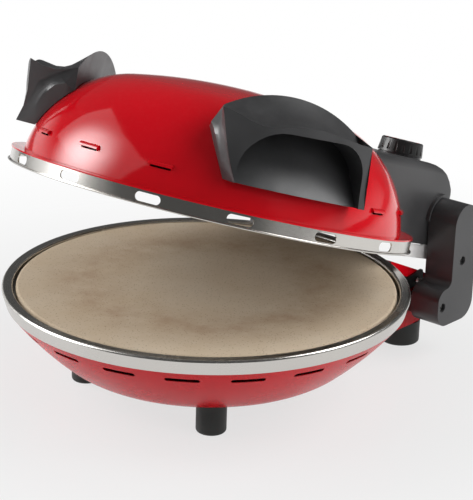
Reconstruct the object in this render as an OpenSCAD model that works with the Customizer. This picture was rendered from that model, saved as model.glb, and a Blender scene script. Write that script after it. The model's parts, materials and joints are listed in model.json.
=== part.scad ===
// Countertop pizza oven with a hinged domed lid. Millimetres, +Z up, the floor at Z = 0.
// The front faces -Y. The lid is drawn part open, as it rests in use.

/* [Base] */
// Outside radius of the bright rim ring of the base
ring_r = 177; // [174:1:182]
// Height of the top of the rim ring above the floor
ring_top = 93.4; // [92:0.2:96]
// Depth of the rim ring's outer band
ring_band_h = 13.2; // [12:0.2:15]
// Radius of the rolled bead on top of the rim ring
ring_bead_r = 2.6; // [2.2:0.1:3.2]
// Thickness of the pressed sheet steel
sheet_t = 1.2; // [1:0.1:1.4]
// Step from the ring's outside in to the bowl's rim
bowl_inset = 3; // [2.5:0.1:5]
// Clear height under the bowl
bowl_clear = 22.4; // [20:0.2:24]
// Radius of the bowl's gently crowned side
bowl_side_r = 300; // [260:5:340]
// Lean of the bowl's side at the rim
bowl_rim_lean = 37.5; // [35:0.5:40]
// Lean of the bowl's side where the bottom corner starts
bowl_low_lean = 49.3; // [47:0.5:52]
// Length of one air slot of the bowl
slot_len = 28; // [20:1:32]
// Height of one air slot of the bowl
slot_h = 4; // [3:0.5:5]
// Depth of the slots' centre line below the ring's top
slot_drop = 21.9; // [20:0.5:26]
// Air slots that a full turn of the bowl would have
slot_count = 20; // [16:1:22]

/* [Stone and heat] */
// Width of the rim ring from its outside to the stone
rim_w = 12; // [11:0.5:16]
// Thickness of the baking stone
stone_t = 11; // [9:1:12]
// Bevel on the baking stone's edges
stone_bevel = 1.5; // [1:0.5:2.5]
// Radius of the tubular heaters
tube_r = 4; // [3.5:0.25:4.5]
// Radius of the lower heater's loop
lower_loop_r = 105; // [95:1:112]
// Radius of the upper heater's loop
upper_loop_r = 110; // [100:1:118]
// Half the spacing of a heater's two legs
leg_x = 20; // [18:1:28]
// Radius of the bend between a heater's loop and its leg
bend_r = 14; // [12:1:18]
// Wall of the two reflector pans
pan_t = 1; // [0.8:0.1:1.2]
// Depth of the lower reflector pan
lower_pan_h = 26; // [22:1:32]

/* [Lid] */
// Step from the base ring's outside in to the lid's rolled lower lip
lip_inset = 1; // [0:0.5:3]
// Step from the lid's lip in to its steel band
band_inset = 1.8; // [1.4:0.2:4]
// Height of the lid's steel band
band_h = 11.5; // [10:0.5:13]
// Gap between the closed lid's lip and the base ring
lid_gap = 2.2; // [1.6:0.2:4]
// Openings round the lid's band
vent_count = 15; // [12:1:18]
// Length of one opening of the band
vent_len = 21; // [16:1:26]
// Height of one opening of the band
vent_h = 7.4; // [6:0.2:8]
// Step from the lid's lip in to the edge of the dome's flange
flange_inset = 1; // [0.5:0.5:2]
// Width of the dome's flange
flange_w = 11; // [10:0.5:13]
// Height of the dome above the lid's lip
dome_h = 102; // [98:1:108]
// Step from the dome's height down to its shoulder's radius; more of it rounds the crown
crown_step = 7; // [6.5:0.5:9]
// Lean of the dome's wall at its foot
dome_lean = 8; // [7:0.5:9]
// Height of the pressed air hoods on the dome
hood_z = 31; // [28:1:40]
// Width of one pressed air hood
hood_w = 20; // [14:1:24]
// Height of one pressed air hood
hood_h = 6.5; // [5:0.5:8]
// Angle the lid stands open at rest
lid_open = 17.8; // [10:0.1:24]

/* [Handles] */
// Angle from the front to the middle of a handle
handle_turn = 62; // [58:0.5:66]
// Step from the foot of the dome's wall in to the handle's inner rim
rim_inset = 41; // [36:1:44]
// Radius of the handle's top rim
rim_arc_r = 105; // [100:1:110]
// Height of the handle's top rim
rim_top = 105.4; // [102:0.2:108]
// Height of the handle's lower edge
handle_foot = 33; // [30:1:36]
// Height of the horn at the handle's front corner
horn_z = 86.6; // [84:0.2:90]
// Height of the handle's outer edge in the dip behind the horn
dip_z = 79.5; // [77:0.5:82]
// Height of the handle's outer edge at its middle
crest_z = 86; // [84:0.5:88]
// Height of the handle's outer edge at its rear corner
tail_z = 81.6; // [79:0.2:84]
// Height of the finger recess's arch at its front
arch_top = 77; // [74:0.5:78]
// Front end of the arch, measured from the handle's middle
arch_front = 53.5; // [50:0.5:55]
// Rear end of the arch's foot, measured from the handle's middle
arch_rear = 53.5; // [51:0.5:54]
// Rise of the arch from its front to its rear
arch_rise = 3.5; // [2:0.5:4]
// Lean of the arch's rear end, so that a wall stays behind it
arch_rear_lean = 5.5; // [4:0.5:8]
// Depth of the saddle between the handle's rim and its outer edge
saddle_drop = 10; // [6:0.5:11]
// Width of the flat collar round the handle's front end
collar_w = 12; // [9:0.5:14]
// Depth of the hollow in the handle's front end
end_hollow = 5; // [3:0.5:7]
// Slope of the recess's back wall from the upright
scoop_lean = 37; // [32:0.5:40]
// Sill left in front of the recess's back wall
scoop_sill = 2.4; // [2:0.2:4]

/* [Hinge and housing] */
// Reach of the lid's pivot behind the rim ring
pivot_reach = 39; // [37:1:45]
// Height of the lid's pivot above the ring's top
pivot_z = 32; // [30:1:36]
// Radius of the pivot pins
pin_r = 4; // [3:0.5:5]
// Radial play of a pin or shaft in its bore
pin_play = 0.05; // [0.02:0.01:0.1]
// Radius of an arm's round head
arm_r = 18; // [16:0.5:20]
// Distance from the middle to an arm's inner face
arm_in = 92; // [92:0.5:96]
// Width of an arm
arm_w = 30; // [26:1:34]
// Depth of an arm's lower end below the ring's top
arm_drop = 61; // [56:1:64]
// Reach of an arm's lower lobe in front of the pivot
lobe_reach = 37; // [34:1:40]
// Half the width of the control housing
housing_x = 91; // [88:0.5:91]
// Height of the control housing's top above the lid's lip
housing_top = 76; // [72:1:80]
// Radius of the control housing's round back
housing_back_r = 45; // [42:1:48]
// Radius of the soft edges along the control housing's top and back
housing_edge_r = 8; // [5:0.5:10]
// Wall of the plastic mouldings
moulding_t = 2.5; // [2:0.1:3]
// Half the width of the hinge block
block_x = 83; // [78:0.5:83.5]

/* [Knobs and feet] */
// Radius of a knob at its base
knob_r = 21; // [18:0.5:22]
// Height of a knob
knob_h = 13; // [11:0.5:15]
// Half the spacing of the two knobs
knob_x = 50; // [44:1:56]
// Grip flutes round a knob
flute_count = 18; // [14:1:20]
// Radius of a front foot
front_foot_r = 12.9; // [11:0.1:14]
// Radius of a rear foot
rear_foot_r = 18.5; // [16:0.5:20]
// Running gap between pieces that move past each other
run_gap = 0.4; // [0.3:0.1:0.6]
// Assembly gap between neighbouring fixed pieces
fit_gap = 0.2; // [0.1:0.05:0.3]

/* [Hidden] */
$fn = 96;
// Clear overshoot of every cutting solid
cut = 1;
// Arc steps of a rounded outline, and of a small bead
arc_steps = 8;
big = 400;

// Base ring frame: origin at the centre of the ring's top plane
pivot_y = ring_r + pivot_reach;
arm_back = pivot_y + arm_r;
back_shift = (arm_back - ring_r) / 2;
bowl_floor_z = bowl_clear - ring_top;
bowl_rim_r = ring_r - bowl_inset;
stone_r = ring_r - rim_w;
lip_r = ring_r - lip_inset;
band_r = lip_r - band_inset;
flange_r = lip_r - flange_inset;
dome_foot_r = flange_r - flange_w;
rim_wall = dome_foot_r - rim_inset;
seat_z = -ring_band_h;
stone_z = seat_z + sheet_t;
ledge_in_r = stone_r - 9;
ring_wall_r = stone_r + 2.5;
hem_r = 0.9;

// Bowl profile: one arc for the side and a tangent arc for the corner
bowl_cx = bowl_rim_r - bowl_side_r * cos(bowl_rim_lean);
bowl_cz = seat_z + bowl_side_r * sin(bowl_rim_lean);
low_x = bowl_cx + bowl_side_r * cos(bowl_low_lean);
low_z = bowl_cz - bowl_side_r * sin(bowl_low_lean);
corner_r = (low_z - bowl_floor_z) / (1 - sin(bowl_low_lean));
corner_cx = low_x - corner_r * cos(bowl_low_lean);
corner_cz = bowl_floor_z + corner_r;
bowl_rim_in = stone_r - 5;

// Dome profile: a shoulder arc from the foot, and a tangent crown arc
flange_z = band_h;
foot_z = flange_z + 2;
dome_side_r = dome_h - crown_step;
dome_cx = dome_foot_r - dome_side_r * cos(dome_lean);
dome_cz = foot_z - dome_side_r * sin(dome_lean);
crown_drop = dome_cz - dome_h;
crown_r = (pow(dome_cx, 2) + pow(crown_drop, 2) - pow(dome_side_r, 2)) / (-2 * (crown_drop + dome_side_r));
crown_cz = dome_h - crown_r;
crown_a = atan2(dome_cz - crown_cz, dome_cx);

// Upper reflector pan, in the lid's frame
upper_pan_top = 46;
upper_pan_foot_z = band_h - sheet_t;
upper_pan_foot_r = dome_foot_r - 6;
upper_pan_top_r = upper_pan_foot_r - 20;
upper_loop_z = 32;
lower_loop_z = seat_z - sheet_t - lower_pan_h + 12;
lower_pan_rim_r = bowl_rim_in - fit_gap;
lower_pan_floor_r = lower_pan_rim_r - 20;
lower_pan_floor_z = seat_z - lower_pan_h;
clip_t = 2;
// Seams where a heater's loop meets its bends and its legs
seam = 0.02;
clip_w = 14;
clip_angles = [-90, 30, 150];

// Lid frame: origin at the centre of the lip's plane, in line with the base ring when closed
pin_lid_z = pivot_z - lid_gap;
back_cy = pivot_y - 29;
housing_foot = 2;
housing_len = 142;
housing_front = back_cy + housing_back_r - housing_len;
housing_back = back_cy + housing_back_r;
// Radius of the housing's rear lower edge
heel_r = 10;
strap_t = 2;
strap_x = housing_x - moulding_t - fit_gap - strap_t;
knob_y = pivot_y - 27;
collar_r = knob_r - 1;
collar_top = housing_top + 1;
knob_z = collar_top + run_gap;
shaft_r = 3;
boss_foot_z = housing_top - 6;
dial_box = 36;
dial_box_h = 20;
dial_box_z = boss_foot_z - 4 - dial_box_h;
shaft_foot_z = dial_box_z + 8;
strap_leg_r = 10;
strap_round = 4;
strap_front = pivot_y - 58;
strap_drop = 11.5;
strap_rise = 0.8;
// Floor plate of the housing: its start, its length and its margin at each side
plate_y = pivot_y - 35;
plate_len = 34;
plate_edge = 10;
gland_r = 7;
gland_bore_r = 3.6;
block_w = 36;
block_d = 16;
block_h = 12;
lip_ring_r = arm_r + 1.2;
lip_ring_t = 2.2;
lip_ring_from = 82;
lip_ring_sweep = 96;
gland_z = 20;

// Hinge block and its straps, in the base ring frame
block_back = pivot_y - 1;
block_len = 83;
block_front = block_back - block_len;
block_crest = block_front + 26;
// Cover plate of the block's underside: its start, its length and its margin at each side
cover_y = pivot_y - 66;
cover_len = 52;
cover_edge = 8;
ear_x = block_x + fit_gap;
ear_t = 2;
// Outline of an ear and its screw, from the pivot
ear_side = [[-65, -13], [-60, -24], [-32, -33.5], [-10, -30.5], [-11.5, -17.5], [-35, -20.5], [-50, -13]];
ear_rounds = [0, 0, 3, 3, 3, 0, 0];
ear_screw = [pivot_y - 18.5, -27.4];
tab_screw_r = 1.5;
pin_seat = 18;
pin_tail = 6;
arm_screws_at = [[pivot_y - 3, -2.8], [pivot_y - 30, -41.8]];
head_r = 3.4;
recess_r = 4.2;
recess_depth = 5;

// Feet: the front pair stands on a ring just outside the bowl's flat floor, the rear pair under the hinge block
foot_ring = corner_cx + 7.7;
foot_turn = 45.58;
front_foot_at = [foot_ring * sin(foot_turn), -foot_ring * cos(foot_turn)];
rear_foot_at = [block_x - 17.5, pivot_y - 14.5];
foot_round = 2.5;

// ---- outlines ----------------------------------------------------------------------------

// Points of an arc about [cx, cy]
function arc(cx, cy, r, from, to, steps) =
    [for (i = [0 : steps]) let (a = from + (to - from) * i / steps) [cx + r * cos(a), cy + r * sin(a)]];

function unit(v) = v / norm(v);
function cross2(a, b) = a.x * b.y - a.y * b.x;
function across(v) = [-v.y, v.x];

// Where the line through p along u meets the line through q along v
function meet(p, u, q, v) = p + u * (cross2(q - p, v) / cross2(u, v));

// A counter-clockwise outline moved inwards by d
function inset(pts, d) =
    [for (i = [0 : len(pts) - 1])
        let (
            a = pts[(i + len(pts) - 1) % len(pts)],
            b = pts[i],
            c = pts[(i + 1) % len(pts)],
            u = unit(b - a),
            v = unit(c - b)
        )
        meet(a + across(u) * d, u, b + across(v) * d, v)];

// The arc that rounds corner b with radius r
function fillet(a, b, c, r) =
    let (
        u = unit(a - b),
        v = unit(c - b),
        half = acos(u * v) / 2,
        reach = r / tan(half),
        centre = b + unit(u + v) * r / sin(half),
        s = b + u * reach - centre,
        e = b + v * reach - centre,
        from = atan2(s.y, s.x),
        turn = (atan2(e.y, e.x) - from + 900) % 360 - 180
    )
    arc(centre.x, centre.y, r, from, from + turn, arc_steps);

// An outline with each corner rounded by its own radius; 0 leaves it sharp
function rounded(pts, radii) =
    [for (i = [0 : len(pts) - 1])
        let (a = pts[(i + len(pts) - 1) % len(pts)], c = pts[(i + 1) % len(pts)])
        each (radii[i] <= 0 ? [pts[i]] : fillet(a, pts[i], c, radii[i]))];

// Outer arcs of the bowl, from its rim down to the floor, thinned inwards by d
function bowl_arcs(d) = concat(
    arc(bowl_cx, bowl_cz, bowl_side_r - d, -bowl_rim_lean, -bowl_low_lean, arc_steps),
    arc(corner_cx, corner_cz, corner_r - d, -bowl_low_lean, -90, arc_steps)
);

// Arcs of the dome from its foot to the middle of its crown, thinned inwards by d
function dome_arcs(d) = concat(
    arc(dome_cx, dome_cz, dome_side_r - d, dome_lean, crown_a, arc_steps * 2),
    [for (i = [1 : arc_steps]) let (a = crown_a + (90 - crown_a) * i / arc_steps)
        [(crown_r - d) * cos(a), crown_cz + (crown_r - d) * sin(a)]]
);

// ---- frames ------------------------------------------------------------------------------

// From the ring's own frame to the floor's frame
module on_base() {
    translate([0, -back_shift, ring_top]) children();
}

// From the lid's own frame to the floor's frame, with the lid opened about its pivot
module on_lid() {
    on_base()
        translate([0, pivot_y, pivot_z])
            rotate([-lid_open, 0, 0])
                translate([0, -pivot_y, lid_gap - pivot_z])
                    children();
}

// Left and right copies
module both_sides() {
    children();
    mirror([1, 0, 0]) children();
}

// A cylinder along +X from x
module rod_x(x, len, r) {
    translate([x, 0, 0]) rotate([0, 90, 0]) cylinder(r = r, h = len);
}

// An outline given as [y, z], extruded along +X from x
module slab_x(x, len, pts) {
    translate([x, 0, 0]) rotate([90, 0, 90]) linear_extrude(len) polygon(pts);
}

// An obround bar along +Y, as a cutter for air slots: len wide, h high
module slot_cutter(len, h, from, to) {
    reach = (len - h) / 2;
    translate([-reach, from, -h / 2]) cube([2 * reach, to - from, h]);
    for (x = [-reach, reach])
        translate([x, from, 0]) rotate([-90, 0, 0]) cylinder(r = h / 2, h = to - from, $fn = 24);
}

// A round-headed screw along +Z with its head's seat at Z = 0
module screw(r, len, head, head_h) {
    translate([0, 0, -len]) cylinder(r = r, h = len + head_h / 2, $fn = 24);
    difference() {
        cylinder(r1 = head, r2 = head * 0.8, h = head_h, $fn = 32);
        for (a = [0, 90])
            rotate([0, 0, a]) translate([-head * 0.55, -0.5, head_h * 0.5]) cube([head * 1.1, 1, head_h]);
    }
}

// Solid that fills the dome, its flange and its band, grown by d
module dome_envelope(d) {
    rotate_extrude()
        polygon(concat(
            [[0, -cut], [lip_r + d, -cut], [lip_r + d, band_h - d], [flange_r + 1 + d, band_h - d],
                [flange_r + 1 + d, foot_z + d], [dome_foot_r + d, foot_z + d]],
            dome_arcs(-d)
        ));
}

// Solid that fills the bowl and its ring, grown by d
module bowl_envelope(d) {
    rotate_extrude()
        polygon(concat(
            [[0, cut * 4], [ring_r + d, cut * 4], [ring_r + d, seat_z - d]],
            bowl_arcs(-d),
            [[0, bowl_floor_z - d]]
        ));
}

// One tubular heater: an open loop with two bent legs that run towards +Y
module heater(loop_r, leg_end) {
    bend_cx = leg_x + bend_r;
    bend_cy = sqrt(pow(loop_r + bend_r, 2) - pow(bend_cx, 2));
    leave_a = atan2(bend_cy, bend_cx);
    seam_a = seam / loop_r * 180 / PI;
    rotate([0, 0, 180 - leave_a + seam_a])
        rotate_extrude(angle = 180 + 2 * (leave_a - seam_a))
            translate([loop_r, 0]) circle(r = tube_r, $fn = 24);
    both_sides()
        union() {
            translate([bend_cx, bend_cy, 0]) rotate([0, 0, 180])
                rotate_extrude(angle = leave_a) translate([bend_r, 0]) circle(r = tube_r, $fn = 24);
            translate([leg_x, bend_cy + seam, 0]) rotate([-90, 0, 0])
                cylinder(r = tube_r, h = leg_end - bend_cy - seam, $fn = 24);
        }
}

// ---- base --------------------------------------------------------------------------------

module base_bowl() {
    color("firebrick") on_base() difference() {
        rotate_extrude(convexity = 6)
            polygon(concat(
                [[bowl_rim_in, seat_z]],
                bowl_arcs(0),
                [[0, bowl_floor_z], [0, bowl_floor_z + sheet_t]],
                [for (i = [0 : len(bowl_arcs(0)) - 1]) let (p = bowl_arcs(sheet_t)[len(bowl_arcs(0)) - 1 - i])
                    if (p.y < seat_z - sheet_t) p],
                [[bowl_rim_in, seat_z - sheet_t]]
            ));
        // Air slots, left out where the hinge block covers the bowl
        for (i = [0 : slot_count - 1]) {
            turn = i * 360 / slot_count;
            if (abs(turn - 180) > 42)
                rotate([0, 0, turn]) translate([0, 0, -slot_drop]) rotate([0, 0, 180])
                    slot_cutter(slot_len, slot_h, bowl_rim_r * 0.8, ring_r);
        }
        // Holes for the lower heater's legs
        for (x = [-leg_x, leg_x])
            translate([x, bowl_rim_r * 0.8, lower_loop_z]) rotate([-90, 0, 0])
                cylinder(r = tube_r + 1.5, h = bowl_rim_r * 0.3, $fn = 32);
    }
}

module base_rim_ring() {
    bead_x = ring_r - ring_bead_r;
    color("silver") on_base() rotate_extrude(convexity = 6)
        polygon(concat(
            arc(bead_x, -ring_bead_r, ring_bead_r, 0, 90, arc_steps),
            [[ring_wall_r + 2 * ring_bead_r, 0]],
            arc(ring_wall_r + ring_bead_r, -ring_bead_r, ring_bead_r, 90, 180, arc_steps),
            [[ring_wall_r, stone_z], [ledge_in_r, stone_z], [ledge_in_r, seat_z],
                [ring_wall_r + sheet_t, seat_z], [ring_wall_r + sheet_t, -2 * ring_bead_r],
                [bead_x - sheet_t, -2 * ring_bead_r], [bowl_rim_r - sheet_t, seat_z], [bowl_rim_r, seat_z]]
        ));
}

module baking_stone() {
    top = stone_z + stone_t;
    color("tan") on_base() rotate_extrude()
        polygon([
            [0, stone_z], [stone_r - stone_bevel, stone_z], [stone_r, stone_z + stone_bevel],
            [stone_r, top - stone_bevel], [stone_r - stone_bevel, top], [0, top]
        ]);
}

module lower_reflector() {
    rim = lower_pan_rim_r;
    color("lightgray") on_base() difference() {
        rotate_extrude(convexity = 6)
            polygon([
                [0, lower_pan_floor_z], [lower_pan_floor_r, lower_pan_floor_z],
                [rim - 8, seat_z - pan_t], [rim, seat_z - pan_t], [rim, seat_z],
                [rim - 8 - pan_t, seat_z], [lower_pan_floor_r - pan_t, lower_pan_floor_z + pan_t],
                [0, lower_pan_floor_z + pan_t]
            ]);
        for (x = [-leg_x, leg_x])
            translate([x, lower_pan_floor_r * 0.8, lower_loop_z]) rotate([-90, 0, 0])
                cylinder(r = tube_r + 1, h = rim * 0.4, $fn = 32);
    }
}

module lower_heater() {
    color("dimgray") on_base() translate([0, 0, lower_loop_z]) heater(lower_loop_r, pivot_y - 34);
}

// Upright plates that stand on a pan and hold the heater's tube in a hole
module heater_clips(loop_r, loop_z, pan_z) {
    low = min(pan_z, loop_z - tube_r - 2);
    high = max(pan_z, loop_z + tube_r + 2);
    for (a = clip_angles)
        rotate([0, 0, a]) translate([loop_r, 0, 0]) difference() {
            translate([-clip_w / 2, -clip_t / 2, low]) cube([clip_w, clip_t, high - low]);
            translate([0, -clip_t, loop_z]) rotate([-90, 0, 0])
                cylinder(r = tube_r + pin_play, h = 2 * clip_t, $fn = 32);
        }
}

module lower_heater_clips() {
    color("gray") on_base() heater_clips(lower_loop_r, lower_loop_z, lower_pan_floor_z + pan_t);
}

// Side view of the hinge block behind the bowl
function block_side() = [[block_front, bowl_floor_z], [block_back, bowl_floor_z], [block_back, -26],
    [block_back - 12, -20], [block_crest, 0], [block_front, 0]];

module hinge_block() {
    rounds = [0, 12, 10, 14, 4, 0];
    inner_rounds = [0, 12 - moulding_t, 10 - moulding_t, 14 - moulding_t, 2, 0];
    color("firebrick") on_base() difference() {
        slab_x(-block_x, 2 * block_x, rounded(block_side(), rounds));
        slab_x(-block_x + moulding_t, 2 * (block_x - moulding_t),
            rounded(inset(block_side(), moulding_t), inner_rounds));
        bowl_envelope(fit_gap);
        // Opening in the underside, closed by the cover plate
        translate([-block_x + cover_edge, cover_y, bowl_floor_z - cut])
            cube([2 * (block_x - cover_edge), cover_len, moulding_t + 2 * cut]);
    }
}

module hinge_block_cover() {
    color("dimgray") on_base()
        difference() {
            translate([-block_x + cover_edge + fit_gap, cover_y + fit_gap, bowl_floor_z])
                cube([2 * (block_x - cover_edge - fit_gap), cover_len - 2 * fit_gap, moulding_t]);
            bowl_envelope(fit_gap);
        }
}

// Steel ears of the rim ring, one on each side of the hinge block
module base_hinge_ears() {
    color("silver") on_base() both_sides() difference() {
        translate([0, pivot_y, 0]) slab_x(ear_x, ear_t, rounded(ear_side, ear_rounds));
        bowl_envelope(fit_gap);
        translate([0, ear_screw.x, ear_screw.y])
            rod_x(ear_x - cut, ear_t + 2 * cut, tab_screw_r + fit_gap, $fn = 32);
    }
}

module ear_screws() {
    color("whitesmoke") on_base() both_sides()
        translate([ear_x + ear_t, ear_screw.x, ear_screw.y]) rotate([0, 90, 0])
            screw(tab_screw_r, ear_t - fit_gap, head_r, 2);
}

// Side view of a hinge arm: a round head, a straight bar and a lobe that reaches forward
module hinge_arm() {
    front = pivot_y - arm_r;
    back = pivot_y + arm_r;
    lobe = pivot_y - lobe_reach;
    side = [[lobe, -arm_drop], [back, -arm_drop], [back, pivot_z + arm_r], [front, pivot_z + arm_r],
        [front, -25], [lobe, -25]];
    pad = [[lobe + 4, -arm_drop + 4], [block_back - 8, -arm_drop + 4], [block_back - 8, -37], [lobe + 4, -37]];
    difference() {
        union() {
            slab_x(arm_in, arm_w, rounded(side, [14, 17, arm_r - 0.01, arm_r - 0.01, 8, 11]));
            // Raised pad that seats on the hinge block's side
            slab_x(block_x, arm_in - block_x + cut, rounded(pad, [9, 9, 3, 3]));
        }
        // Blind bore that the pivot pin is pressed into
        translate([0, pivot_y, pivot_z]) rod_x(arm_in - cut, pin_seat + cut, pin_r, $fn = 48);
        for (at = arm_screws_at)
            translate([0, at.x, at.y])
                rod_x(arm_in + arm_w - recess_depth, recess_depth + cut, recess_r, $fn = 32);
    }
}

module hinge_arm_right() {
    color("dimgray") on_base() hinge_arm();
}

module hinge_arm_left() {
    color("dimgray") on_base() mirror([1, 0, 0]) hinge_arm();
}

module arm_screws() {
    color("whitesmoke") on_base() both_sides()
        for (at = arm_screws_at)
            translate([arm_in + arm_w - recess_depth, at.x, at.y]) rotate([0, 90, 0])
                difference() {
                    cylinder(r = head_r, h = 2.4, $fn = 32);
                    translate([0, 0, 1.2]) cylinder(r = 1.6, h = 2, $fn = 6);
                }
}

module pivot_pins() {
    color("silver") on_base() both_sides()
        translate([0, pivot_y, pivot_z])
            rod_x(strap_x - pin_tail, arm_in + pin_seat - strap_x + pin_tail, pin_r, $fn = 48);
}

// A foot of radius r and height h, with a recess for its screw
module foot(r, h) {
    difference() {
        rotate_extrude()
            polygon(concat(
                [[0, 0]],
                arc(r - foot_round, foot_round, foot_round, -90, 0, arc_steps),
                [[r, h], [0, h]]
            ));
        translate([0, 0, -cut]) cylinder(r = 5, h = h / 2 + cut, $fn = 32);
        cylinder(r = 2, h = h + cut, $fn = 24);
    }
}

module front_feet() {
    color("black") difference() {
        for (x = [-front_foot_at.x, front_foot_at.x])
            translate([x, front_foot_at.y - back_shift, 0]) foot(front_foot_r, bowl_clear + 6);
        on_base() bowl_envelope(0);
    }
}

module rear_feet() {
    color("black")
        for (x = [-rear_foot_at.x, rear_foot_at.x])
            translate([x, rear_foot_at.y - back_shift, 0]) foot(rear_foot_r, bowl_clear);
}

module foot_screws() {
    color("silver")
        for (at = [front_foot_at, rear_foot_at], side = [-1, 1])
            translate([side * at.x, at.y - back_shift, bowl_clear / 2]) rotate([180, 0, 0])
                screw(2 - fit_gap, bowl_clear / 2 - 0.4, 4, 2.4);
}

// ---- lid ---------------------------------------------------------------------------------

// One pressed hood: a low quarter dome that rises from the wall and opens downwards
module pressed_hood(r, z) {
    translate([0, -r, z]) intersection() {
        translate([-hood_w / 2, 0, 0]) rotate([0, 90, 0]) cylinder(r = hood_h / 2, h = hood_w, $fn = 24);
        translate([-big / 2, -big / 2, 0]) cube([big, big, big]);
    }
}

function wall_r_at(z) = dome_cx + sqrt(pow(dome_side_r, 2) - pow(z - dome_cz, 2));

handle_screw_lean = 30;
handle_screw_r = 1.5;
handle_screw_turns = [-14, 14];
hood_turns = [0, 24, -24, 96, -96, 120, -120];

module lid_dome() {
    inner = dome_arcs(sheet_t);
    count = len(inner);
    color("crimson") on_lid() difference() {
        union() {
            rotate_extrude(convexity = 6)
                polygon(concat(
                    [[dome_foot_r - sheet_t, flange_z], [flange_r, flange_z], [flange_r, flange_z + sheet_t],
                        [dome_foot_r, flange_z + sheet_t]],
                    dome_arcs(0),
                    [for (i = [0 : count - 1]) inner[count - 1 - i]]
                ));
            for (turn = hood_turns)
                rotate([0, 0, turn]) pressed_hood(wall_r_at(hood_z) - 1.2, hood_z);
        }
        // Slit under each pressed hood
        for (turn = hood_turns)
            rotate([0, 0, turn]) translate([-hood_w / 2 + 1.5, -wall_r_at(hood_z) - 0.6, hood_z - 1.6])
                cube([hood_w - 3, 8, 2.2]);
        // Holes for the screws of the handles
        both_sides()
            for (u = handle_screw_turns)
                rotate([0, 0, handle_turn + u]) translate([0, -dome_cx, dome_cz])
                    rotate([90 - handle_screw_lean, 0, 0]) translate([0, 0, dome_side_r - 3])
                        cylinder(r = handle_screw_r + fit_gap, h = 6, $fn = 24);
        // Holes for the upper heater's legs
        for (x = [-leg_x, leg_x])
            translate([x, upper_pan_top_r, upper_loop_z]) rotate([-90, 0, 0])
                cylinder(r = tube_r + 1.5, h = 40, $fn = 32);
    }
}

module lid_band() {
    wall_in = band_r - sheet_t;
    lip_c = lip_r - hem_r;
    color("silver") on_lid() difference() {
        rotate_extrude(convexity = 6)
            polygon(concat(
                [[wall_in, hem_r]],
                arc(wall_in + hem_r, hem_r, hem_r, 180, 270, 4),
                arc(lip_c, hem_r, hem_r, -90, 90, arc_steps),
                [[band_r, 2 * hem_r], [band_r, band_h], [upper_pan_foot_r, band_h],
                    [upper_pan_foot_r, band_h - sheet_t], [wall_in, band_h - sheet_t]]
            ));
        for (i = [0 : vent_count - 1])
            rotate([0, 0, i * 360 / vent_count]) translate([0, 0, band_h / 2 + 0.4]) rotate([0, 0, 180])
                slot_cutter(vent_len, vent_h, band_r - 12, band_r + 4);
    }
}

module upper_reflector() {
    foot = upper_pan_foot_z;
    color("lightgray") on_lid() difference() {
        rotate_extrude(convexity = 6)
            polygon([
                [band_r - sheet_t - 4, foot - pan_t], [band_r - sheet_t - 4, foot],
                [upper_pan_foot_r - 2, foot],
                [upper_pan_top_r, upper_pan_top], [0, upper_pan_top], [0, upper_pan_top - pan_t],
                [upper_pan_top_r - pan_t, upper_pan_top - pan_t], [upper_pan_foot_r - 2 - pan_t, foot - pan_t]
            ]);
        for (x = [-leg_x, leg_x])
            translate([x, upper_pan_top_r - 20, upper_loop_z]) rotate([-90, 0, 0])
                cylinder(r = tube_r + 1, h = 40, $fn = 32);
    }
}

module upper_heater() {
    color("dimgray") on_lid() translate([0, 0, upper_loop_z]) heater(upper_loop_r, pivot_y - 34);
}

module upper_heater_clips() {
    color("gray") on_lid() heater_clips(upper_loop_r, upper_loop_z, upper_pan_top - pan_t);
}

// ---- handles -----------------------------------------------------------------------------

// Half length of a handle's top rim, and the share of the saddle that is left at its ends
rim_half_u = 58;
saddle_end = 0.55;
// Angle by which the collar of the front end runs ahead along the dome
collar_lead = 3;
// Gap between a handle and the dome at the loft's points
handle_seat = 0.5;
loft_steps = 28;
seat_steps = 5;
top_steps = 4;
side_steps = 4;
// Hollow of the outer face between its edge and its foot, and the ridge's height in front of the end
side_hollow = 4;
ridge_proud = 1.2;
// Turns of the handle's ends from its middle, at its foot and along its outer edge
foot_front_a = -17.6;
foot_rear_a = 19.8;
edge_front_a = -24.6;
edge_rear_a = 17.5;

function mix(a, b, t) = a + (b - a) * t;
function ease(a, b, t) = mix(a, b, (1 - cos(180 * t)) / 2);
// Height of the outer edge: horn, dip, crest and tail
function edge_height(t) =
    t < 0.27 ? ease(horn_z, dip_z, t / 0.27)
    : t < 0.58 ? ease(dip_z, crest_z, (t - 0.27) / 0.31)
    : ease(crest_z, tail_z, (t - 0.58) / 0.42);
// How far a section belongs to the flared front end: 1 at the end, 0 past the first quarter
function flare(t) = t < 0.3 ? (1 + cos(600 * t)) / 2 : 0;
function rim_height(u) = rim_top - rim_arc_r + sqrt(pow(rim_arc_r, 2) - pow(u, 2));

// A point at angle a from the handle's middle, in its own frame: u along, w outwards, z up
function spoke(a, r, z) = [r * sin(a), r * cos(a), z];

// A point on the dome's shoulder arc at lean a, turned by spin from the handle's middle
function dome_side_at(spin, a) =
    spoke(spin, dome_cx + (dome_side_r + handle_seat) * cos(a), dome_cz + (dome_side_r + handle_seat) * sin(a));

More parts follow.
